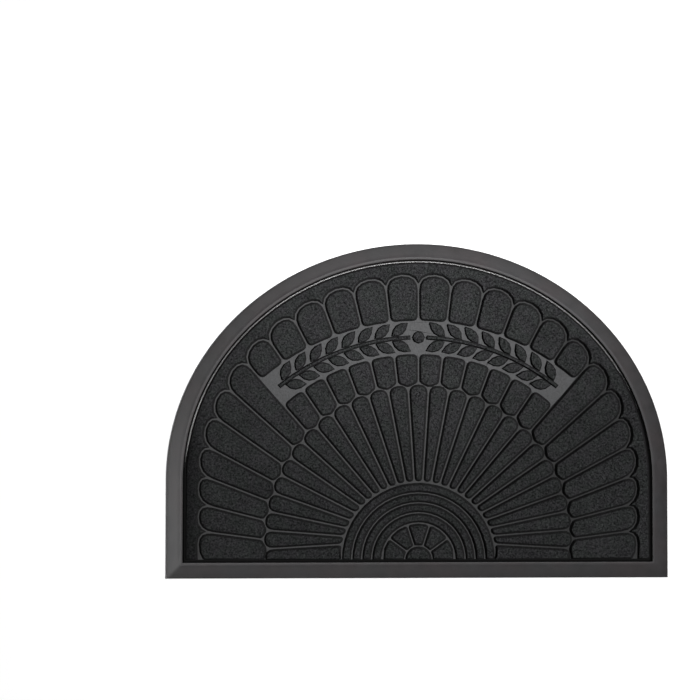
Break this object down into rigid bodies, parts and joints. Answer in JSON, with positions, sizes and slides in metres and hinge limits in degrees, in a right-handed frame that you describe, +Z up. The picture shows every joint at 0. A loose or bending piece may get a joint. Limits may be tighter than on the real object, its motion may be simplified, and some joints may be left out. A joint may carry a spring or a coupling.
{
  "type": "half round doormat",
  "caption": "Half round doormat: a moulded rubber tray with a bevelled border holds a pile carpet embossed with a fan of petals and a band of leaves.",
  "frame": {"origin": "under the middle of the mat, on the surface it lies on", "axes": "+X along the straight edge, +Y from the straight edge towards the top of the arch, +Z up out of the pile"},
  "size_m": [0.6, 0.4, 0.007],
  "materials": {
    "rubber": "satin, moulded, with light scuffs",
    "pile": "short dark pile, embossed"
  },
  "bodies": {
    "root": {"rubber_tray": "rubber", "pile_carpet": "pile"}
  },
  "joints": []
}
